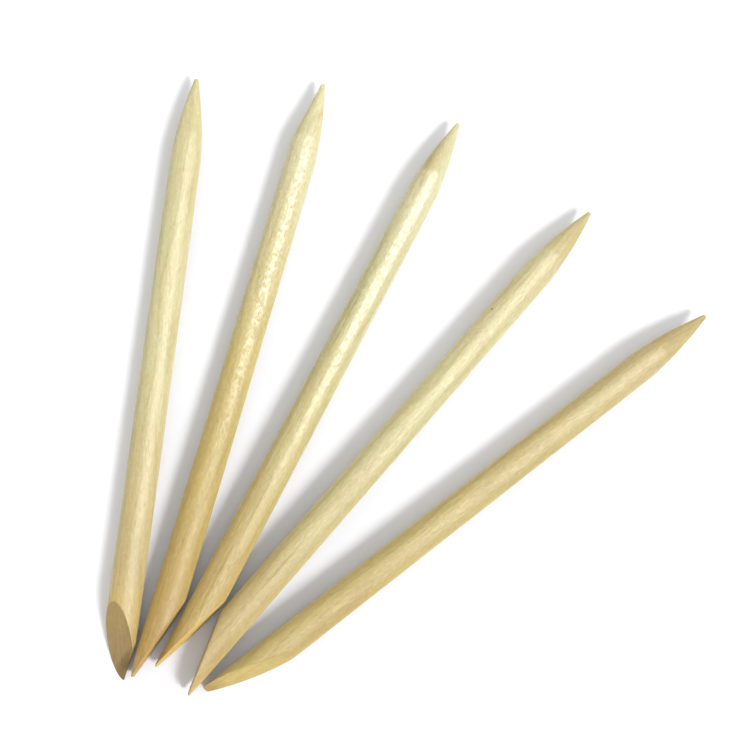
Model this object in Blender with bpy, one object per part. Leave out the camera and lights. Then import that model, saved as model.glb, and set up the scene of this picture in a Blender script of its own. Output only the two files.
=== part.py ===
# Five loose wooden cuticle pushers laid out as an open fan on a flat surface.
# Each one is a single turned stick: a sharpened point at one end, and at the other a
# long slanting face, with an easing sanded on another side of its thin end.
# Metres, +Z up. The middle stick lies along Y with its point towards +Y.

import math

import bmesh
import bpy
from mathutils import Vector, geometry

# The rod that every stick is cut from.
ROD_RADIUS = 0.001875
ROD_SIDES = 32

# The sharpened end: a slightly swollen cone with a small blunt tip.
POINT_LENGTH = 0.0108
POINT_TIP_RADIUS = 0.00023
POINT_SWELL = 0.00024
POINT_STEPS = 9

# Where the fan closes, neighbours lie almost against each other.
CLEARANCE = 0.0003
WIDER_CLEARANCE = 0.00042

# One entry for each stick, from the middle outwards, in metres and degrees. A side is
# given by the way it looks from the axis: 0 to the right, 90 up, 180 left, 270 down.
#   length          from the point's tip to the thin end
#   heading         how far the point swings to the left of +Y
#   behind          how far the thin end lies behind that of the middle stick
#   beside          the neighbour that it lies against, nearer the middle
#   gap             the space left to that neighbour where they come closest
#   bevel_side      the side that the slanting face looks to
#   bevel_length    how far the slanting face reaches back from the thin end
#   edge            the wood that the slanting face leaves at the thin end
#   easing_side     the side that the easing looks to
#   easing_length   how far the easing reaches back from the thin end
#   easing_depth    how deep the easing goes at the thin end
#   colour          the wood's own colour
STICKS = {
    "pusher_middle": {
        "length": 0.0765,
        "heading": 0.0,
        "behind": 0.0,
        "beside": None,
        "gap": 0.0,
        "bevel_side": 8.0,
        "bevel_length": 0.01,
        "edge": 0.00012,
        "easing_side": 188.0,
        "easing_length": 0.001,
        "easing_depth": 0.0001,
        "colour": (0.72, 0.60, 0.37),
    },
    "pusher_left": {
        "length": 0.0761,
        "heading": 11.75,
        "behind": 0.0018,
        "beside": "pusher_middle",
        "gap": CLEARANCE,
        "bevel_side": 5.0,
        "bevel_length": 0.0096,
        "edge": 0.00042,
        "easing_side": 185.0,
        "easing_length": 0.003,
        "easing_depth": 0.0004,
        "colour": (0.70, 0.58, 0.35),
    },
    "pusher_far_left": {
        "length": 0.0736,
        "heading": 21.2,
        "behind": 0.0033,
        "beside": "pusher_left",
        "gap": CLEARANCE,
        "bevel_side": 127.0,
        "bevel_length": 0.0086,
        "edge": 0.00003,
        "easing_side": 0.0,
        "easing_length": 0.0044,
        "easing_depth": 0.0009,
        "colour": (0.66, 0.53, 0.31),
    },
    "pusher_right": {
        "length": 0.077,
        "heading": -14.1,
        "behind": 0.0007,
        "beside": "pusher_middle",
        "gap": CLEARANCE,
        "bevel_side": 176.0,
        "bevel_length": 0.0094,
        "edge": 0.00032,
        "easing_side": 356.0,
        "easing_length": 0.004,
        "easing_depth": 0.00015,
        "colour": (0.70, 0.57, 0.34),
    },
    "pusher_far_right": {
        "length": 0.0768,
        "heading": -25.8,
        "behind": 0.0004,
        "beside": "pusher_right",
        "gap": WIDER_CLEARANCE,
        "bevel_side": 27.0,
        "bevel_length": 0.0104,
        "edge": 0.0002,
        "easing_side": 207.0,
        "easing_length": 0.0012,
        "easing_depth": 0.00015,
        "colour": (0.69, 0.56, 0.33),
    },
}

WOOD_ROUGHNESS = 0.5
WELD_DISTANCE = 0.000001
SMOOTH_BELOW = math.radians(15.0)
BACKWARDS = Vector((0.0, -1.0, 0.0))


def clear_scene():
    for obj in list(bpy.data.objects):
        bpy.data.objects.remove(obj)


def wood_material(name, colour):
    material = bpy.data.materials.new(name)
    material.use_nodes = True
    shader = material.node_tree.nodes["Principled BSDF"]
    shader.inputs["Base Color"].default_value = (*colour, 1.0)
    shader.inputs["Roughness"].default_value = WOOD_ROUGHNESS
    shader.inputs["Metallic"].default_value = 0.0
    return material


def point_radius(distance):
    """The radius of the sharpened end, at this distance from its tip."""
    share = distance / POINT_LENGTH
    cone = POINT_TIP_RADIUS + (ROD_RADIUS - POINT_TIP_RADIUS) * share
    return cone + 4.0 * POINT_SWELL * share * (1.0 - share)


def half_outline(length):
    """The stick's outline from the point's tip to its other end at y = 0, as (radius, y)."""
    outline = [(0.0, length)]
    for step in range(POINT_STEPS + 1):
        distance = POINT_LENGTH * step / POINT_STEPS
        outline.append((point_radius(distance), length - distance))
    outline.append((ROD_RADIUS, 0.0))
    outline.append((0.0, 0.0))
    return outline


def turn_rod(mesh, length):
    """Turns the outline about Y, with one of the rod's flat sides facing straight down."""
    half_side = math.pi / ROD_SIDES
    across = Vector((math.sin(half_side), 0.0, -math.cos(half_side)))
    outline = half_outline(length)
    points = [mesh.verts.new(across * radius + Vector((0.0, y, 0.0))) for radius, y in outline]
    edges = [mesh.edges.new(pair) for pair in zip(points, points[1:])]
    bmesh.ops.spin(
        mesh,
        geom=points + edges,
        cent=(0.0, 0.0, 0.0),
        axis=(0.0, 1.0, 0.0),
        angle=2.0 * math.pi,
        steps=ROD_SIDES,
    )
    bmesh.ops.remove_doubles(mesh, verts=mesh.verts[:], dist=WELD_DISTANCE)


def cut_slope(mesh, side, reach, height):
    """Cuts one flat slope at the thin end, starting this far back from it.

    height is how far above the axis, towards that side, the slope meets the thin end. It
    is negative where the cut passes the axis.
    """
    looks_to = Vector((math.cos(side), 0.0, math.sin(side)))
    bmesh.ops.bisect_plane(
        mesh,
        geom=mesh.verts[:] + mesh.edges[:] + mesh.faces[:],
        dist=WELD_DISTANCE,
        plane_co=looks_to * height,
        plane_no=(looks_to * reach + BACKWARDS * (ROD_RADIUS - height)).normalized(),
        clear_outer=True,
    )
    bmesh.ops.holes_fill(mesh, edges=mesh.edges[:], sides=0)


def shape_thin_end(mesh, size):
    bevel_side = math.radians(size["bevel_side"])
    easing_side = math.radians(size["easing_side"])
    cut_slope(mesh, bevel_side, size["bevel_length"], size["edge"] - ROD_RADIUS)
    cut_slope(mesh, easing_side, size["easing_length"], ROD_RADIUS - size["easing_depth"])


def build_stick(name, size, fan):
    mesh = bmesh.new()
    turn_rod(mesh, size["length"])
    shape_thin_end(mesh, size)
    bmesh.ops.recalc_face_normals(mesh, faces=mesh.faces[:])
    data = bpy.data.meshes.new(name)
    mesh.to_mesh(data)
    mesh.free()
    data.shade_smooth()
    data.set_sharp_from_angle(angle=SMOOTH_BELOW)
    data.materials.append(wood_material(name + "_wood", size["colour"]))
    stick = bpy.data.objects.new(name, data)
    bpy.context.scene.collection.objects.link(stick)
    stick.parent = fan
    stick.location = (0.0, -size["behind"], ROD_RADIUS)
    stick.rotation_euler = (0.0, 0.0, math.radians(size["heading"]))
    bpy.context.view_layer.update()
    return stick


def plan_outline(stick):
    """The stick's outline seen from above, as points in order round it."""
    points = [(stick.matrix_world @ v.co).to_2d() for v in stick.data.vertices]
    return [points[index] for index in geometry.convex_hull_2d(points)]


def reach_to_side(outline, side, y):
    """How far an outline reaches to one side at this y, or None where it has no width."""
    found = []
    for start, end in zip(outline, outline[1:] + outline[:1]):
        if min(start.y, end.y) <= y <= max(start.y, end.y) and start.y != end.y:
            share = (y - start.y) / (end.y - start.y)
            found.append(side * (start.x + (end.x - start.x) * share))
    return max(found, default=None)


def lay_beside(stick, neighbour, heading, gap):
    """Slides a stick sideways until it lies this far from its neighbour."""
    side = -1.0 if heading > 0.0 else 1.0
    own = plan_outline(stick)
    other = plan_outline(neighbour)
    shifts = []
    for y in [point.y for point in own + other]:
        outer = reach_to_side(other, side, y)
        inner = reach_to_side(own, -side, y)
        if outer is not None and inner is not None:
            shifts.append(outer + inner)
    stick.location.x += side * (max(shifts) + gap / math.cos(math.radians(heading)))
    bpy.context.view_layer.update()


def centre_fan(fan, sticks):
    """Moves the fan so that the origin is the centre of its box, at its base."""
    corners = [stick.matrix_world @ v.co for stick in sticks for v in stick.data.vertices]
    low = [min(corner[axis] for corner in corners) for axis in range(3)]
    high = [max(corner[axis] for corner in corners) for axis in range(3)]
    fan.location = (-(low[0] + high[0]) / 2, -(low[1] + high[1]) / 2, -low[2])


def build_fan():
    fan = bpy.data.objects.new("fan_centre", None)
    bpy.context.scene.collection.objects.link(fan)
    sticks = {}
    for name, size in STICKS.items():
        sticks[name] = build_stick(name, size, fan)
        if size["beside"]:
            lay_beside(sticks[name], sticks[size["beside"]], size["heading"], size["gap"])
    centre_fan(fan, sticks.values())


clear_scene()
build_fan()
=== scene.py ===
import math

import bpy
import numpy as np
from mathutils import Matrix, Vector, noise


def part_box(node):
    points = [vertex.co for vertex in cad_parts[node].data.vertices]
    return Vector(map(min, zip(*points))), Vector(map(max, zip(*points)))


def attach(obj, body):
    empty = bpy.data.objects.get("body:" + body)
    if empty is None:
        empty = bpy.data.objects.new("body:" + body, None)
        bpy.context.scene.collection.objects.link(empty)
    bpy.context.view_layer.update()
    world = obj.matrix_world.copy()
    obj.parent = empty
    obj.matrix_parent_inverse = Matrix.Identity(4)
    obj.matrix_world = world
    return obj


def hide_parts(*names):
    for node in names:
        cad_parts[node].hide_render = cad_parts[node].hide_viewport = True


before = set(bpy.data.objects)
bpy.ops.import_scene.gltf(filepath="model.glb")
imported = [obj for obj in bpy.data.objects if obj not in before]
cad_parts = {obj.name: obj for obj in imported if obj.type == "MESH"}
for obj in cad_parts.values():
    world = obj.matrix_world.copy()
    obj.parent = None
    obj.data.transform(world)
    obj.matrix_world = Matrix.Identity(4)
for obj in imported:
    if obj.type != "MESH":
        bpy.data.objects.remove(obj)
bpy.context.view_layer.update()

metresPerMm = 0.001

# What the five sticks share, in millimetres.
rod = {
    "radius": 1.875,
    "pointLength": 10.8,
    "pointTipRadius": 0.23,
    "pointSwell": 0.24,
    "sandedPoint": 8.0,        # the polish stops this far from the tip
    "sandedFade": 1.2,         # and fades out over this length
    "cutFade": 0.05,           # how fast the sanding begins at the edge of a flat cut
    "edgeRounding": 0.07,      # how soft the sanded edges are
    "edgeShare": 0.4,          # and never softer than this share of the thickness
    "tipRounding": 0.12,
    "bluntest": 0.02,          # the thin end closes to the square root of this share of its size
    "wave": 0.014,             # slow waver left by turning
    "waveLength": 9.0,
    "wavesAcross": 0.35,       # per millimetre
    "raisedGrain": 0.005,
    "grainAcross": 0.3,
    "grainAlong": 3.6,
    "crispBelow": 0.6,         # waver and grain die away this near the middle
}

# How finely a stick is drawn, in millimetres, steps and radians.
rings = {
    "around": 144,
    "outline": 720,            # steps round a ring before they are spaced evenly
    "endReach": 11.5,          # the rings stay close this far in from both ends
    "endSpacing": 0.12,
    "shaftSpacing": 0.24,
    "thinEnd": 5,
    "thinEndFrom": 0.15,       # angle of the first ring on the rounded thin end
    "tipGap": 0.3,             # the ball on the tip takes over here
    "tip": 7,
    "tipUpTo": 1.45,           # angle of the last ring on the ball
}
tiny = 1e-6
leastRoom = 0.0001             # between a ring's middle and a cut
farAway = 99.0                 # beyond any outline
faintest = 0.02                # a cut that faces a direction less than this doesn't limit it


def camera():
    view = {
        "aim": (0.001525, 0.00518, 0.0019),
        "distance": 0.1439,
        "swing": -3.33,        # degrees round the vertical
        "tilt": 13.67,         # degrees away from straight down
        "roll": 30.67,
        "lens": 56.85,
        "sensor": 36.0,
        "nearest": 0.005,
    }
    data = bpy.data.cameras.new("viewCamera")
    data.lens = view["lens"]
    data.sensor_width = view["sensor"]
    data.clip_start = view["nearest"]
    turn = (
        Matrix.Rotation(math.radians(view["swing"]), 4, "Z")
        @ Matrix.Rotation(math.radians(view["tilt"]), 4, "X")
        @ Matrix.Rotation(math.radians(view["roll"]), 4, "Z")
    )
    away = turn.to_3x3() @ Vector((0.0, 0.0, view["distance"]))
    made = bpy.data.objects.new("viewCamera", data)
    made.matrix_world = Matrix.Translation(Vector(view["aim"]) + away) @ turn
    bpy.context.scene.collection.objects.link(made)
    bpy.context.scene.camera = made


def towards(azimuth, elevation):
    a, e = math.radians(azimuth), math.radians(elevation)
    return Vector((math.cos(a) * math.cos(e), math.sin(a) * math.cos(e), math.sin(e)))


def studio():
    light = {
        "keyStrength": 2.6,
        "keyFrom": (-20.0, 48.0),    # azimuth from +X and elevation, in degrees
        "keyWidth": 17.0,
        "keyColour": (1.0, 1.0, 1.02),
        "lowStrength": 1.15,         # reaches under the sides that face away from the key
        "lowFrom": (152.0, 20.0),
        "lowWidth": 40.0,
        "lowColour": (1.0, 0.96, 0.84),
        "fill": 0.79,
        "fillColour": (1.0, 1.0, 1.01),
        "glossFrom": (46.0, 60.0),
        "glossDistance": 0.5,
        "glossSize": 0.48,
        "glossPower": 12.5,
        "glossColour": (1.0, 0.98, 0.88),
    }
    scene = bpy.context.scene
    scene.view_settings.view_transform = "Standard"
    world = bpy.data.worlds.new("studioFill")
    world.use_nodes = True
    world.node_tree.nodes["Background"].inputs["Strength"].default_value = light["fill"]
    world.node_tree.nodes["Background"].inputs["Color"].default_value = (*light["fillColour"], 1.0)
    scene.world = world

    for name, part in (("keyLamp", "key"), ("lowLamp", "low")):
        lamp = bpy.data.lights.new(name, "SUN")
        lamp.energy = light[part + "Strength"]
        lamp.angle = math.radians(light[part + "Width"])
        lamp.color = light[part + "Colour"]
        lampObject = bpy.data.objects.new(name, lamp)
        lampObject.rotation_euler = towards(*light[part + "From"]).to_track_quat("Z", "Y").to_euler()
        scene.collection.objects.link(lampObject)

    gloss = bpy.data.lights.new("glossPanel", "AREA")
    gloss.shape = "SQUARE"
    gloss.size = light["glossSize"]
    gloss.energy = light["glossPower"]
    gloss.color = light["glossColour"]
    glossObject = bpy.data.objects.new("glossPanel", gloss)
    glossObject.location = towards(*light["glossFrom"]) * light["glossDistance"]
    glossObject.rotation_euler = towards(*light["glossFrom"]).to_track_quat("Z", "Y").to_euler()
    glossObject.visible_diffuse = False    # it only shines, so it throws no second shadow
    scene.collection.objects.link(glossObject)


def paleFloor():
    floor = {
        "size": 6.0,
        "drop": 0.00002,                   # just under the sticks
        "white": (0.765, 0.775, 0.805),    # a little cool beside the warm wood
    }
    half = floor["size"] / 2
    corners = [(-half, -half, 0.0), (half, -half, 0.0), (half, half, 0.0), (-half, half, 0.0)]
    data = bpy.data.meshes.new("paleFloor")
    data.from_pydata(corners, [], [(0, 1, 2, 3)])
    material = bpy.data.materials.new("mattPaper")
    material.use_nodes = True
    shader = material.node_tree.nodes["Principled BSDF"]
    shader.inputs["Base Color"].default_value = (*floor["white"], 1.0)
    shader.inputs["Roughness"].default_value = 1.0
    shader.inputs["Specular IOR Level"].default_value = 0.0
    data.materials.append(material)
    made = bpy.data.objects.new("paleFloor", data)
    made.location.z = -floor["drop"]
    bpy.context.scene.collection.objects.link(made)


# cutFaceShading is painted shade on the far-left bevel and painted light on the middle one; on the others it
# barely changes the colour
# The five sticks, left to right. Lengths are in millimetres, colours are linear and angles are in
# degrees. A side is the way it looks from the axis: 0 to the right, 90 up, 180 left, 270 down.
#   heading   turn of the stick from +Y, to the left
#   bevel     slanting face at the thin end: how far it runs, and what it leaves at the end
#   easing    flat cut that eases another side, and how deep it is at the end
#   corner    one side of the point cut straight to this reach instead of swelling
#   softEdge  for a stick whose edges are rounder than the others'
#   wood      colour at the thin end, at mid-length and at the point, paler at the point partly in the wood and partly as a painted highlight; cutFaceShading multiplies it on the bevel
#   shiny     roughness of the wax
#   wax       how much of it there is towards the point, and footWax how much at the thin end
#   speckle   how far the wax is broken up
#   hammered  depth of the dimples in the wood towards the point
#   marks     soft-edged patches: place along and across the stick, size, softness and stain; most are stains in the wood, but on the far-left stick one is a painted shadow and one is painted light
sticks = {
    "farLeftStick": {
        "node": "pusher_far_left",
        "length": 73.6,
        "heading": 21.2,
        "bevel": {"side": 127.0, "reach": 8.6, "edge": 0.03},
        "easing": {"side": 0.0, "reach": 4.4, "depth": 0.9},
        "seed": 3.1,
        "wood": {
            "foot": (0.475, 0.365, 0.138),
            "middle": (0.56, 0.525, 0.287),
            "crown": (0.545, 0.505, 0.272),
        },
        # painted shade: darkens the bevel, which faces away from the light
        "cutFaceShading": (0.635, 0.59, 0.61),
        "shiny": 0.42,
        "wax": 0.18,
        "footWax": 0.25,
        "speckle": 0.25,
        "hammered": 0.01,
        "marks": [
            # painted shadow: the next stick's shadow falling across the thin end of the bevel
            {"at": (6.75, -2.4, 0.6), "size": (8.0, 8.0, 8.0), "soft": 0.035, "stainAndPaintedLight": (0.68, 0.64, 0.54)},
            # painted light: the top of the bevel made lighter, easing the painted shade there
            {"at": (-0.8, 7.6, 1.2), "size": (2.4, 3.0, 2.4), "soft": 0.8, "stainAndPaintedLight": (1.12, 1.1, 1.02)},
        ],
    },
    "leftStick": {
        "node": "pusher_left",
        "length": 76.1,
        "heading": 11.75,
        "bevel": {"side": 5.0, "reach": 9.6, "edge": 0.42},
        "easing": {"side": 185.0, "reach": 3.0, "depth": 0.4},
        "corner": {"side": 180.0, "from": 0.5, "reach": 8.6, "leastKept": 0.9, "spread": 0.7},
        "seed": 11.7,
        "wood": {
            "foot": (0.44, 0.305, 0.088),
            "middle": (0.515, 0.43, 0.15),
            "crown": (0.585, 0.555, 0.325),
        },
        "cutFaceShading": (0.97, 0.95, 0.92),
        "shiny": 0.43,
        "wax": 0.85,
        "footWax": 0.06,
        "speckle": 0.85,
        "hammered": 0.034,
        "marks": [
            {"at": (0.0, -0.5, 0.0), "size": (3.0, 4.4, 3.0), "soft": 0.6, "stainAndPaintedLight": (0.97, 0.88, 0.78)},
        ],
    },
    "middleStick": {
        "node": "pusher_middle",
        "length": 76.5,
        "heading": 0.0,
        "bevel": {"side": 8.0, "reach": 10.0, "edge": 0.12},
        "easing": {"side": 188.0, "reach": 1.0, "depth": 0.1},
        "seed": 23.4,
        "wood": {
            "foot": (0.48, 0.35, 0.105),
            "middle": (0.53, 0.495, 0.24),
            "crown": (0.58, 0.56, 0.338),
        },
        # painted light: lightens the bevel, which lies in shade beside the next stick
        "cutFaceShading": (1.25, 1.22, 1.18),
        "shiny": 0.33,
        "wax": 0.85,
        "footWax": 0.05,
        "speckle": 0.7,
        "hammered": 0.021,
        "marks": [
            {"at": (0.0, -0.5, 0.0), "size": (3.0, 4.4, 3.0), "soft": 0.6, "stainAndPaintedLight": (0.97, 0.88, 0.78)},
            {"at": (-1.0, 70.0, 0.8), "size": (1.2, 4.6, 1.6), "soft": 0.5, "stainAndPaintedLight": (0.95, 0.87, 0.76)},
            {"at": (-1.35, 52.0, 1.3), "size": (0.5, 15.0, 0.7), "soft": 1.1, "stainAndPaintedLight": (0.82, 0.83, 0.68)},
            {"at": (-0.95, 47.5, 1.6), "size": (0.11, 5.0, 0.5), "soft": 0.8, "stainAndPaintedLight": (0.68, 0.63, 0.42)},
            {"at": (0.05, 21.0, 1.87), "size": (0.12, 2.9, 0.5), "soft": 0.6, "stainAndPaintedLight": (0.72, 0.7, 0.5)},
            {"at": (-0.3, 12.0, 1.87), "size": (0.13, 3.6, 0.5), "soft": 0.7, "stainAndPaintedLight": (0.82, 0.72, 0.56)},
        ],
    },
    "rightStick": {
        "node": "pusher_right",
        "length": 77.0,
        "heading": -14.1,
        "bevel": {"side": 176.0, "reach": 9.4, "edge": 0.32},
        "easing": {"side": 356.0, "reach": 4.0, "depth": 0.15},
        "seed": 37.9,
        "wood": {
            "foot": (0.475, 0.367, 0.139),
            "middle": (0.55, 0.515, 0.27),
            "crown": (0.56, 0.51, 0.275),
        },
        "cutFaceShading": (0.97, 0.96, 0.94),
        "shiny": 0.4,
        "wax": 0.2,
        "footWax": 0.06,
        "speckle": 0.5,
        "hammered": 0.014,
        "marks": [
            {"at": (-1.31, 58.0, 1.34), "size": (0.12, 0.13, 0.12), "soft": 0.3, "stainAndPaintedLight": (0.25, 0.2, 0.15)},
            {"at": (0.0, 17.5, 1.87), "size": (0.13, 3.6, 0.5), "soft": 0.6, "stainAndPaintedLight": (0.74, 0.66, 0.5)},
            {"at": (0.0, 75.5, 0.0), "size": (2.5, 7.5, 2.5), "soft": 0.4, "stainAndPaintedLight": (0.95, 0.92, 0.83)},
        ],
    },
    "farRightStick": {
        "node": "pusher_far_right",
        "length": 76.8,
        "heading": -25.8,
        "bevel": {"side": 27.0, "reach": 10.4, "edge": 0.2},
        "easing": {"side": 207.0, "reach": 1.2, "depth": 0.15},
        "softEdge": 0.3,
        "seed": 52.3,
        "wood": {
            "foot": (0.485, 0.38, 0.13),
            "middle": (0.505, 0.425, 0.165),
            "crown": (0.49, 0.405, 0.175),
        },
        "cutFaceShading": (0.97, 0.96, 0.92),
        "shiny": 0.45,
        "wax": 0.15,
        "footWax": 0.08,
        "speckle": 0.5,
        "hammered": 0.012,
        "marks": [
            {"at": (0.0, -0.4, 0.0), "size": (3.0, 2.2, 3.0), "soft": 0.3, "stainAndPaintedLight": (0.74, 0.66, 0.54)},
        ],
    },
}


def sideVector(degrees):
    return np.array([math.cos(math.radians(degrees)), math.sin(math.radians(degrees))])


def ringPlaces(length):
    # rings lie closer at both ends, where the shape changes
    thinAngles = np.linspace(rings["thinEndFrom"], math.pi / 2, rings["thinEnd"])
    thinEnd = rod["tipRounding"] * (1.0 - np.cos(thinAngles))
    near = np.arange(thinEnd[-1] + rings["endSpacing"], rings["endReach"], rings["endSpacing"])
    shaft = np.arange(near[-1] + rings["shaftSpacing"], length - rings["endReach"], rings["shaftSpacing"])
    point = np.arange(shaft[-1] + rings["endSpacing"], length - rings["tipGap"], rings["endSpacing"])
    tipAngles = np.linspace(0.0, rings["tipUpTo"], rings["tip"])
    roundTip = length - rod["pointTipRadius"] * (1.0 - np.sin(tipAngles))
    return np.concatenate([thinEnd, near, shaft, point, roundTip])


def rodRadius(fromTip):
    # swollen cone, with a ball of the tip's own radius at its end
    tip = rod["pointTipRadius"]
    share = np.clip(fromTip / rod["pointLength"], 0.0, 1.0)
    cone = tip + (rod["radius"] - tip) * share
    cone = cone + 4.0 * rod["pointSwell"] * share * (1.0 - share)
    inBall = np.clip(1.0 - fromTip / tip, 0.0, 1.0)
    return cone * np.sqrt(np.clip(1.0 - inBall**2, 0.0, 1.0))


def softMin(a, b, width):
    blend = np.clip(1.0 - np.abs(a - b) / width, 0.0, 1.0)
    return np.minimum(a, b) - blend**2 * width / 4.0


def slopeHeights(y, reach, endHeight):
    return endHeight + (rod["radius"] - endHeight) * y / reach


def clipOutline(outline, direction, height):
    # keeps the part of a closed outline that lies below a height along a direction
    level = outline @ direction - height
    following = np.roll(outline, -1, axis=0)
    nextLevel = np.roll(level, -1)
    kept = []
    for here, there, now, later in zip(outline, following, level, nextLevel):
        if now <= 0.0:
            kept.append(here)
        if (now <= 0.0) != (later <= 0.0):
            kept.append(here + (there - here) * now / (now - later))
    return np.array(kept) if len(kept) > 2 else outline


def centroid(outline):
    x, y = outline[:, 0], outline[:, 1]
    nextX, nextY = np.roll(x, -1), np.roll(y, -1)
    cross = x * nextY - nextX * y
    area = cross.sum() / 2
    if abs(area) < tiny:
        return outline.mean(axis=0)
    return np.array([((x + nextX) * cross).sum(), ((y + nextY) * cross).sum()]) / (6 * area)


def crossSections(stick, y):
    # one closed outline for each ring, as points spaced evenly round it, and how sanded they are
    radius = rodRadius(stick["length"] - y)
    bevelWay = sideVector(stick["bevel"]["side"])
    easeWay = sideVector(stick["easing"]["side"])
    bevelEnd = stick["bevel"]["edge"] - rod["radius"]
    easeEnd = rod["radius"] - stick["easing"]["depth"]
    bevelAt = slopeHeights(y, stick["bevel"]["reach"], bevelEnd)
    easeAt = slopeHeights(y, stick["easing"]["reach"], easeEnd)

    turn = np.linspace(0.0, 2 * math.pi, rings["outline"] + 1)[:-1]
    way = np.stack([np.cos(turn), np.sin(turn)], axis=1)
    middle = np.zeros((len(y), 2))
    thickness = 2 * radius
    for ring in np.nonzero((bevelAt < radius) | (easeAt < radius))[0]:
        outline = clipOutline(way * radius[ring], bevelWay, bevelAt[ring])
        outline = clipOutline(outline, easeWay, easeAt[ring])
        middle[ring] = centroid(outline)
        across = outline @ bevelWay
        thickness[ring] = across.max() - across.min()

    along = middle @ way.T
    toRound = np.sqrt(np.clip(along**2 + (radius**2 - (middle**2).sum(1))[:, None], 0, None)) - along
    rounding = stick.get("softEdge", rod["edgeRounding"])
    width = np.minimum(rounding, rod["edgeShare"] * thickness)[:, None]

    def toSlope(direction, height):
        facing = way @ direction
        room = np.maximum(height - middle @ direction, leastRoom)[:, None]
        return np.where(facing > faintest, room / np.maximum(facing, faintest), farAway)

    toBevel = toSlope(bevelWay, bevelAt)
    toEase = toSlope(easeWay, easeAt)
    reach = softMin(softMin(toRound, toBevel, width), toEase, width)
    fade = rod["cutFade"]
    onSlope = np.clip((toRound - np.minimum(toBevel, toEase)) / fade + 0.5, 0.0, 1.0)
    onBevel = np.clip((np.minimum(toRound, toEase) - toBevel) / fade + 0.5, 0.0, 1.0)

    outline = middle[:, None, :] + way[None, :, :] * reach[:, :, None]
    return evenlySpaced(outline, onSlope, onBevel), middle


def evenlySpaced(outline, *masks):
    count = rings["around"]
    places = np.empty((len(outline), count, 2))
    spread = [np.empty((len(outline), count)) for mask in masks]
    for ring, points in enumerate(outline):
        closed = np.vstack([points, points[:1]])
        step = np.hypot(*np.diff(closed, axis=0).T)
        travelled = np.concatenate([[0.0], np.cumsum(step)])
        wanted = np.linspace(0.0, travelled[-1], count + 1)[:-1]
        places[ring, :, 0] = np.interp(wanted, travelled, closed[:, 0])
        places[ring, :, 1] = np.interp(wanted, travelled, closed[:, 1])
        for mask, into in zip(masks, spread):
            into[ring] = np.interp(wanted, travelled, np.append(mask[ring], mask[ring, 0]))
    return places, *spread


def surfaceRelief(points, seed):
    # slow waver from turning, and the grain standing a little proud
    relief = np.empty(len(points))
    waves, across = rod["wavesAcross"], rod["grainAcross"]
    for index, (x, y, z) in enumerate(points):
        slow = noise.noise(Vector((x * waves + seed, y / rod["waveLength"], z * waves)))
        fine = noise.noise(Vector((x / across + seed, y / rod["grainAlong"], z / across)))
        relief[index] = rod["wave"] * slow + rod["raisedGrain"] * fine
    return relief


def cornerPoint(stick, fromTip, places):
    # one side of the point can be cut shorter than the rest, which leaves a corner there
    if "corner" not in stick:
        return places
    corner = stick["corner"]
    facing = places @ sideVector(corner["side"]) / np.maximum(np.linalg.norm(places, axis=2), tiny)
    share = np.clip(fromTip / corner["reach"], 0.0, 1.0)
    cut = rod["pointTipRadius"] + (rod["radius"] - rod["pointTipRadius"]) * share
    kept = np.maximum(cut / np.maximum(rodRadius(fromTip), tiny), corner["leastKept"])
    kept = np.where(fromTip > corner["from"], kept, 1.0)
    weight = np.clip(facing, 0.0, 1.0) ** corner["spread"]
    return places * (1.0 + (kept[:, None] - 1.0) * weight)[:, :, None]


def stickPoints(stick):
    y = ringPlaces(stick["length"])
    (places, sanded, cut), middle = crossSections(stick, y)
    thin = np.clip(1.0 - y / rod["tipRounding"], 0.0, 1.0)
    close = np.sqrt(np.clip(1.0 - thin**2, rod["bluntest"], 1.0))[:, None, None]
    places = middle[:, None, :] + (places - middle[:, None, :]) * close
    fromTip = stick["length"] - y
    places = cornerPoint(stick, fromTip, places)
    count = rings["around"]
    points = np.empty((len(y), count, 3))
    points[:, :, 0] = places[:, :, 0]
    points[:, :, 1] = y[:, None]
    points[:, :, 2] = places[:, :, 1]
    outward = points - np.stack([middle[:, 0], y, middle[:, 1]], axis=1)[:, None, :]
    size = np.linalg.norm(outward, axis=2, keepdims=True)
    relief = surfaceRelief(points.reshape(-1, 3), stick["seed"]).reshape(len(y), count, 1)
    calm = np.clip(size / rod["crispBelow"], 0.0, 1.0)
    points += outward / np.maximum(size, tiny) * (relief - rod["wave"] * 0.5) * calm
    pointSand = np.clip((rod["sandedPoint"] - fromTip) / rod["sandedFade"] + 0.5, 0.0, 1.0)
    sanded = np.maximum(sanded, pointSand[:, None])
    return points, sanded, cut


def ringFaces(ringCount, count):
    first = np.arange(count)
    after = (first + 1) % count
    faces = []
    for ring in range(ringCount - 1):
        low, high = ring * count, (ring + 1) * count
        faces.append(np.stack([low + first, high + first, high + after, low + after], axis=1))
    sides = np.concatenate(faces).tolist()
    startCap = first.tolist()
    endCap = ((ringCount - 1) * count + first)[::-1].tolist()
    return sides + [startCap, endCap]


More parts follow.
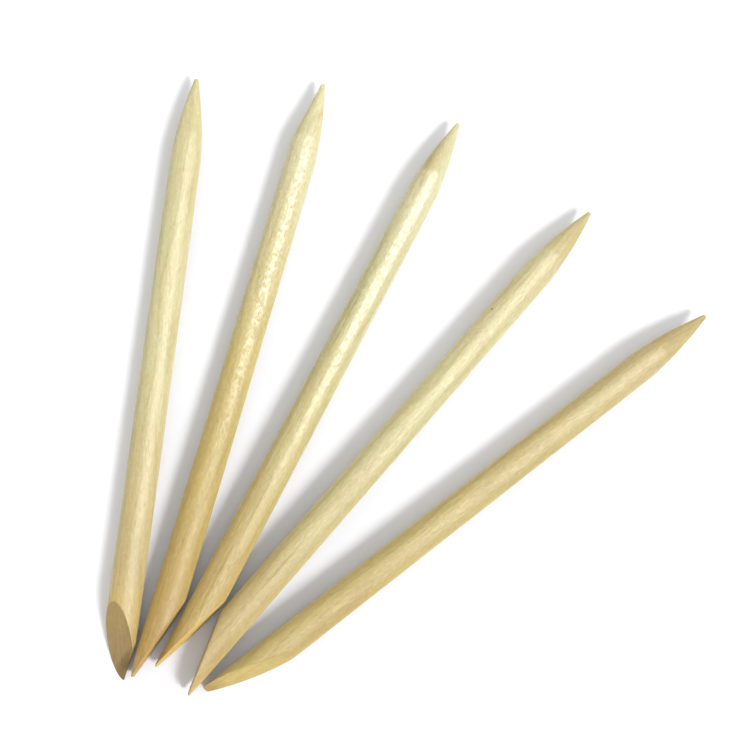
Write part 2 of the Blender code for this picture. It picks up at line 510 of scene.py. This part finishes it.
def buildStick(name, stick):
    points, sanded, cut = stickPoints(stick)
    ringCount, count = sanded.shape
    local = points.reshape(-1, 3)
    heading = math.radians(stick["heading"])
    cosine, sine = math.cos(heading), math.sin(heading)
    placed = np.empty_like(local)
    placed[:, 0] = local[:, 0] * cosine - local[:, 1] * sine
    placed[:, 1] = local[:, 0] * sine + local[:, 1] * cosine
    placed[:, 2] = local[:, 2]
    placed *= metresPerMm
    low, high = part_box(stick["node"])
    centre = (np.array(low) + np.array(high)) / 2
    placed[:, :2] += centre[:2] - (placed[:, :2].min(0) + placed[:, :2].max(0)) / 2
    placed[:, 2] += low.z - placed[:, 2].min()

    data = bpy.data.meshes.new(name)
    data.from_pydata(placed.tolist(), [], ringFaces(ringCount, count))
    data.validate()
    data.shade_smooth()
    spots = data.attributes.new("stickPlace", "FLOAT_VECTOR", "POINT")
    spots.data.foreach_set("vector", local.astype(np.float32).ravel())
    for label, values in (("sanded", sanded), ("cutFace", cut)):
        layer = data.attributes.new(label, "FLOAT", "POINT")
        layer.data.foreach_set("value", values.astype(np.float32).ravel())
    data.materials.append(woodMaterial(name + "Wood", stick))
    made = bpy.data.objects.new(name, data)
    bpy.context.scene.collection.objects.link(made)
    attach(made, stick["node"])
    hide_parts(stick["node"])
    return made


def newGroup(name, inputs, outputs):
    group = bpy.data.node_groups.new(name, "ShaderNodeTree")
    for label, kind in inputs:
        group.interface.new_socket(name=label, in_out="INPUT", socket_type=kind)
    for label, kind in outputs:
        group.interface.new_socket(name=label, in_out="OUTPUT", socket_type=kind)
    return group, group.nodes.new("NodeGroupInput"), group.nodes.new("NodeGroupOutput")


def addNode(tree, kind, **settings):
    node = tree.nodes.new(kind)
    for key, value in settings.items():
        if key in node.inputs:
            node.inputs[key].default_value = value
        else:
            setattr(node, key, value)
    return node


def mathNode(tree, operation, first, second):
    node = tree.nodes.new("ShaderNodeMath")
    node.operation = operation
    for index, value in enumerate((first, second)):
        if isinstance(value, (int, float)):
            node.inputs[index].default_value = value
        else:
            tree.links.new(value, node.inputs[index])
    return node.outputs[0]


def rangeNode(tree, value, low, high, toLow=0.0, toHigh=1.0):
    node = tree.nodes.new("ShaderNodeMapRange")
    node.inputs["From Min"].default_value = low
    node.inputs["From Max"].default_value = high
    node.inputs["To Min"].default_value = toLow
    node.inputs["To Max"].default_value = toHigh
    tree.links.new(value, node.inputs["Value"])
    return node.outputs["Result"]


def mixColours(tree, share, first, second, blend="MIX"):
    node = tree.nodes.new("ShaderNodeMix")
    node.data_type = "RGBA"
    node.blend_type = blend
    sockets = (node.inputs[0], node.inputs[6], node.inputs[7])
    for socket, value in zip(sockets, (share, first, second)):
        if isinstance(value, bpy.types.NodeSocket):
            tree.links.new(value, socket)
        elif isinstance(value, tuple):
            socket.default_value = (*value, 1.0)
        else:
            socket.default_value = value
    return node.outputs[2]


def stretchedNoise(tree, place, scale, detail, rough=0.5):
    stretch = tree.nodes.new("ShaderNodeVectorMath")
    stretch.operation = "MULTIPLY"
    stretch.inputs[1].default_value = scale
    tree.links.new(place, stretch.inputs[0])
    node = addNode(tree, "ShaderNodeTexNoise", Scale=1.0, Detail=detail, Roughness=rough)
    tree.links.new(stretch.outputs[0], node.inputs["Vector"])
    return node.outputs["Fac"]


def sumOf(tree, *values):
    total = values[0]
    for value in values[1:]:
        total = mathNode(tree, "ADD", total, value)
    return total


def woodFigureGroup():
    # the wood's own figure, with the grain running along Y of the place given in millimetres; Flecks and
    # Mottle also set where painted glints go
    inputs = [("Place", "NodeSocketVector"), ("Seed", "NodeSocketFloat")]
    labels = ("Bands", "Blush", "Fibres", "Flecks", "Mottle", "Pores", "Rings")
    group, given, put = newGroup("woodFigure", inputs, [(label, "NodeSocketFloat") for label in labels])
    shift = addNode(group, "ShaderNodeVectorMath", operation="SCALE")
    shift.inputs[0].default_value = (17.0, 5.3, 31.0)    # a seed moves the figure this way
    group.links.new(given.outputs["Seed"], shift.inputs["Scale"])
    moved = addNode(group, "ShaderNodeVectorMath", operation="ADD")
    group.links.new(given.outputs["Place"], moved.inputs[0])
    group.links.new(shift.outputs[0], moved.inputs[1])
    place = moved.outputs[0]

    figure = {
        # cycles per millimetre across and along, detail, roughness, low, high
        "Bands": ((0.75, 0.05, 0.75), 3.0, 0.5, 0.33, 0.67),
        "Blush": ((0.4, 0.09, 0.4), 2.0, 0.5, 0.38, 0.66),
        "Fibres": ((6.5, 0.45, 6.5), 3.0, 0.62, 0.32, 0.68),
        "Flecks": ((3.4, 1.3, 3.4), 2.0, 0.65, 0.47, 0.64),
        "Mottle": ((2.6, 1.9, 2.6), 2.0, 0.62, 0.36, 0.64),
        "Pores": ((7.0, 1.2, 7.0), 1.0, 0.5, 0.6, 0.72),
    }
    for label, (scale, detail, rough, low, high) in figure.items():
        cloud = stretchedNoise(group, place, scale, detail, rough)
        group.links.new(rangeNode(group, cloud, low, high), put.inputs[label])

    growth = {
        "across": 0.55,              # rings per millimetre
        "upward": 0.3,
        "bend": 5.0,                 # how many rings the bending moves them by
        "bendScale": (0.22, 0.035, 0.22),
        "fullTurn": 6.283,
        "dark": (0.55, 1.0),         # the part of the sine that shows as a line
    }
    bend = stretchedNoise(group, place, growth["bendScale"], 1.0)
    parts = addNode(group, "ShaderNodeSeparateXYZ")
    group.links.new(place, parts.inputs[0])
    across = mathNode(group, "MULTIPLY", parts.outputs["X"], growth["across"])
    upward = mathNode(group, "MULTIPLY", parts.outputs["Z"], growth["upward"])
    layer = sumOf(group, across, upward, mathNode(group, "MULTIPLY", bend, growth["bend"]))
    sine = mathNode(group, "SINE", mathNode(group, "MULTIPLY", layer, growth["fullTurn"]), 0.0)
    group.links.new(rangeNode(group, sine, *growth["dark"]), put.inputs["Rings"])
    return group


def woodTintGroup():
    # colour along the stick, from its thin end to its point, paler towards the point partly in the wood and
    # partly as a painted highlight, and then the figure laid over it
    stainAndPaintedLight = {
        # how strong it is, and what it multiplies the colour by
        "Bands": (0.55, (0.83, 0.79, 0.68)),
        "Blush": (0.36, (1.04, 0.93, 0.88)),
        "Fibres": (0.6, (0.84, 0.80, 0.70)),
        # Flecks: pale flecks in the wood, lifted to a blue-white that is partly a painted glint
        "Flecks": (0.5, (1.16, 1.18, 1.30)),
        "Rings": (0.4, (0.80, 0.74, 0.62)),
        "Pores": (0.36, (0.66, 0.58, 0.46)),
        # Mottle: painted glints, speckling the waxed wood lighter and bluer
        "Mottle": (0.3, (1.12, 1.13, 1.2)),
    }
    blend = {"footToMiddle": (0.06, 0.5), "middleToCrown": (0.5, 0.85)}
    inputs = [(label, "NodeSocketFloat") for label in ("Along", *stainAndPaintedLight)]
    inputs += [(label, "NodeSocketColor") for label in ("Foot", "Middle", "Crown")]
    group, given, put = newGroup("woodTint", inputs, [("Colour", "NodeSocketColor")])
    lowHalf = rangeNode(group, given.outputs["Along"], *blend["footToMiddle"])
    highHalf = rangeNode(group, given.outputs["Along"], *blend["middleToCrown"])
    colour = mixColours(group, lowHalf, given.outputs["Foot"], given.outputs["Middle"])
    colour = mixColours(group, highHalf, colour, given.outputs["Crown"])
    for label, (strength, tint) in stainAndPaintedLight.items():
        share = mathNode(group, "MULTIPLY", given.outputs[label], strength)
        tinted = mixColours(group, 1.0, colour, tint, "MULTIPLY")
        colour = mixColours(group, share, colour, tinted)
    group.links.new(colour, put.inputs["Colour"])
    return group


wornAlong = (0.3, 0.62)    # where polish and dimples come in, from the thin end to the point


def polishGroup():
    # a thin coat of wax that the sanding has taken off, speckled, and worn towards the thin end
    polish = {
        "rough": 0.56,
        "sandedRougher": 0.2,
        "flecksSmoother": 0.1,
        "dimples": (0.3, 0.7),       # the part of the mottle that breaks up the wax
    }
    labels = ("Along", "Flecks", "Mottle", "Sanded", "Wax", "FootWax", "Speckle")
    inputs = [(label, "NodeSocketFloat") for label in labels]
    outputs = [("Roughness", "NodeSocketFloat"), ("Coat", "NodeSocketFloat")]
    group, given, put = newGroup("polishWear", inputs, outputs)
    rougher = mathNode(group, "MULTIPLY", given.outputs["Sanded"], polish["sandedRougher"])
    smoother = mathNode(group, "MULTIPLY", given.outputs["Flecks"], polish["flecksSmoother"])
    rough = mathNode(group, "ADD", rougher, polish["rough"])
    rough = mathNode(group, "SUBTRACT", rough, smoother)
    group.links.new(rough, put.inputs["Roughness"])

    kept = rangeNode(group, given.outputs["Along"], *wornAlong)
    extra = mathNode(group, "SUBTRACT", given.outputs["Wax"], given.outputs["FootWax"])
    wax = mathNode(group, "ADD", mathNode(group, "MULTIPLY", extra, kept), given.outputs["FootWax"])
    raised = rangeNode(group, given.outputs["Mottle"], *polish["dimples"])
    dimple = mathNode(group, "SUBTRACT", 1.0, raised)
    lost = mathNode(group, "MULTIPLY", dimple, given.outputs["Speckle"])
    wax = mathNode(group, "MULTIPLY", wax, mathNode(group, "SUBTRACT", 1.0, lost))
    wax = mathNode(group, "MULTIPLY", wax, mathNode(group, "SUBTRACT", 1.0, given.outputs["Sanded"]))
    group.links.new(wax, put.inputs["Coat"])
    return group


def reliefGroup():
    # height in millimetres: fibres, flecks and pores, and belt scratches where it is sanded
    proud = {"Fibres": -0.016, "Flecks": 0.018, "Pores": -0.02}
    scratches = {"turn": 62.0, "scale": (11.0, 0.9, 11.0), "detail": 2.0, "rough": 0.6, "proud": 0.022}
    labels = ("Fibres", "Flecks", "Mottle", "Pores", "Sanded", "Hammered")
    inputs = [("Place", "NodeSocketVector")] + [(label, "NodeSocketFloat") for label in labels]
    group, given, put = newGroup("woodRelief", inputs, [("Height", "NodeSocketFloat")])
    turned = addNode(group, "ShaderNodeVectorRotate", rotation_type="EULER_XYZ")
    turned.inputs["Rotation"].default_value = (0.0, 0.0, math.radians(scratches["turn"]))
    group.links.new(given.outputs["Place"], turned.inputs["Vector"])
    shape = (scratches["scale"], scratches["detail"], scratches["rough"])
    scratched = stretchedNoise(group, turned.outputs[0], *shape)
    scratched = mathNode(group, "MULTIPLY", scratched, scratches["proud"])
    height = sumOf(
        group,
        *[mathNode(group, "MULTIPLY", given.outputs[label], size) for label, size in proud.items()],
        mathNode(group, "MULTIPLY", given.outputs["Mottle"], given.outputs["Hammered"]),
        mathNode(group, "MULTIPLY", scratched, given.outputs["Sanded"]),
    )
    group.links.new(height, put.inputs["Height"])
    return group


def softSpotGroup():
    # a soft-edged patch round one place, sized in millimetres, with a ragged outline
    ragged = {"scale": (1.6, 0.8, 1.6), "detail": 2.0, "strength": 2.0}
    inputs = [(label, "NodeSocketVector") for label in ("Place", "Centre", "Size")]
    inputs += [("Soft", "NodeSocketFloat")]
    group, given, put = newGroup("softSpot", inputs, [("Mask", "NodeSocketFloat")])
    away = addNode(group, "ShaderNodeVectorMath", operation="SUBTRACT")
    group.links.new(given.outputs["Place"], away.inputs[0])
    group.links.new(given.outputs["Centre"], away.inputs[1])
    share = addNode(group, "ShaderNodeVectorMath", operation="DIVIDE")
    group.links.new(away.outputs[0], share.inputs[0])
    group.links.new(given.outputs["Size"], share.inputs[1])
    length = addNode(group, "ShaderNodeVectorMath", operation="LENGTH")
    group.links.new(share.outputs[0], length.inputs[0])
    cloud = stretchedNoise(group, given.outputs["Place"], ragged["scale"], ragged["detail"])
    wander = mathNode(group, "MULTIPLY", mathNode(group, "SUBTRACT", cloud, 0.5), ragged["strength"])
    inside = mathNode(group, "SUBTRACT", 1.0, length.outputs["Value"])
    depth = mathNode(group, "ADD", mathNode(group, "DIVIDE", inside, given.outputs["Soft"]), wander)
    group.links.new(rangeNode(group, depth, -1.0, 1.0), put.inputs["Mask"])
    return group


woodFigure = woodFigureGroup()
woodTint = woodTintGroup()
polishWear = polishGroup()
woodRelief = reliefGroup()
softSpot = softSpotGroup()
print("wood groups made")


def useGroup(tree, group, **values):
    node = addNode(tree, "ShaderNodeGroup", node_tree=group)
    for label, value in values.items():
        socket = node.inputs[label]
        if isinstance(value, bpy.types.NodeSocket):
            tree.links.new(value, socket)
        elif isinstance(value, tuple) and socket.type == "RGBA":
            socket.default_value = (*value, 1.0)
        else:
            socket.default_value = value
    return node


def woodMaterial(name, stick):
    finish = {
        "raggedSanding": 0.5,        # how far the mottle moves the edge of the sanding
        "sandedEdge": (0.3, 0.7),
        "sandedAway": 0.8,           # how much of the pores and mottle the sanding takes off
        "footDimples": 0.3,          # share of the dimples' depth at the thin end
        "diffuseRoughness": 1.0,
        "specular": 0.35,
        "sheen": 0.06,
        "sheenRoughness": 0.4,
    }
    material = bpy.data.materials.new(name)
    material.use_nodes = True
    tree = material.node_tree
    shader = tree.nodes["Principled BSDF"]
    place = addNode(tree, "ShaderNodeAttribute", attribute_name="stickPlace").outputs["Vector"]
    sandedAt = addNode(tree, "ShaderNodeAttribute", attribute_name="sanded").outputs["Fac"]
    cutAt = addNode(tree, "ShaderNodeAttribute", attribute_name="cutFace").outputs["Fac"]
    parts = addNode(tree, "ShaderNodeSeparateXYZ")
    tree.links.new(place, parts.inputs[0])
    along = rangeNode(tree, parts.outputs["Y"], 0.0, stick["length"])

    figure = useGroup(tree, woodFigure, Place=place, Seed=stick["seed"]).outputs
    ragged = mathNode(tree, "MULTIPLY", figure["Mottle"], finish["raggedSanding"])
    ragged = sumOf(tree, sandedAt, ragged, -0.5 * finish["raggedSanding"])
    sanded = rangeNode(tree, ragged, *finish["sandedEdge"])
    grain = {label: figure[label] for label in ("Bands", "Blush", "Fibres", "Flecks", "Rings")}
    unsanded = mathNode(tree, "SUBTRACT", 1.0, mathNode(tree, "MULTIPLY", sanded, finish["sandedAway"]))
    # Pores and the Mottle's painted glints fade where the wood is sanded
    for label in ("Pores", "Mottle"):
        grain[label] = mathNode(tree, "MULTIPLY", figure[label], unsanded)
    colours = {label: stick["wood"][label.lower()] for label in ("Foot", "Middle", "Crown")}
    colour = useGroup(tree, woodTint, Along=along, **grain, **colours).outputs["Colour"]
    # painted shade and painted light on the bevel: the tint multiplies the colour where the cut face is
    cutFaceShading = mixColours(tree, 1.0, colour, stick["cutFaceShading"], "MULTIPLY")
    colour = mixColours(tree, cutAt, colour, cutFaceShading)
    # marks stain the colour; on the far-left stick they also paint a shadow and light onto the bevel
    for mark in stick["marks"]:
        spot = useGroup(tree, softSpot, Place=place, Centre=mark["at"], Size=mark["size"], Soft=mark["soft"])
        stained = mixColours(tree, 1.0, colour, mark["stainAndPaintedLight"], "MULTIPLY")
        colour = mixColours(tree, spot.outputs["Mask"], colour, stained)
    tree.links.new(colour, shader.inputs["Base Color"])

    wear = useGroup(
        tree, polishWear, Along=along, Flecks=figure["Flecks"], Mottle=figure["Mottle"], Sanded=sanded,
        Wax=stick["wax"], FootWax=stick["footWax"], Speckle=stick["speckle"],
    ).outputs
    tree.links.new(wear["Roughness"], shader.inputs["Roughness"])
    tree.links.new(wear["Coat"], shader.inputs["Coat Weight"])
    shader.inputs["Coat Roughness"].default_value = stick["shiny"]
    deepest = stick["hammered"]
    hammered = rangeNode(tree, along, *wornAlong, finish["footDimples"] * deepest, deepest)
    relief = useGroup(
        tree, woodRelief, Place=place, Sanded=sanded, Hammered=hammered,
        **{label: figure[label] for label in ("Fibres", "Flecks", "Mottle", "Pores")},
    )
    bump = addNode(tree, "ShaderNodeBump", Strength=1.0, Distance=metresPerMm)
    tree.links.new(relief.outputs["Height"], bump.inputs["Height"])
    tree.links.new(bump.outputs["Normal"], shader.inputs["Normal"])
    shader.inputs["Diffuse Roughness"].default_value = finish["diffuseRoughness"]
    shader.inputs["Specular IOR Level"].default_value = finish["specular"]
    shader.inputs["Sheen Weight"].default_value = finish["sheen"]
    shader.inputs["Sheen Roughness"].default_value = finish["sheenRoughness"]
    return material


camera()
studio()
paleFloor()
print("camera, lights and floor ready")

for stickName, stickSize in sticks.items():
    buildStick(stickName, stickSize)
    print("built", stickName)
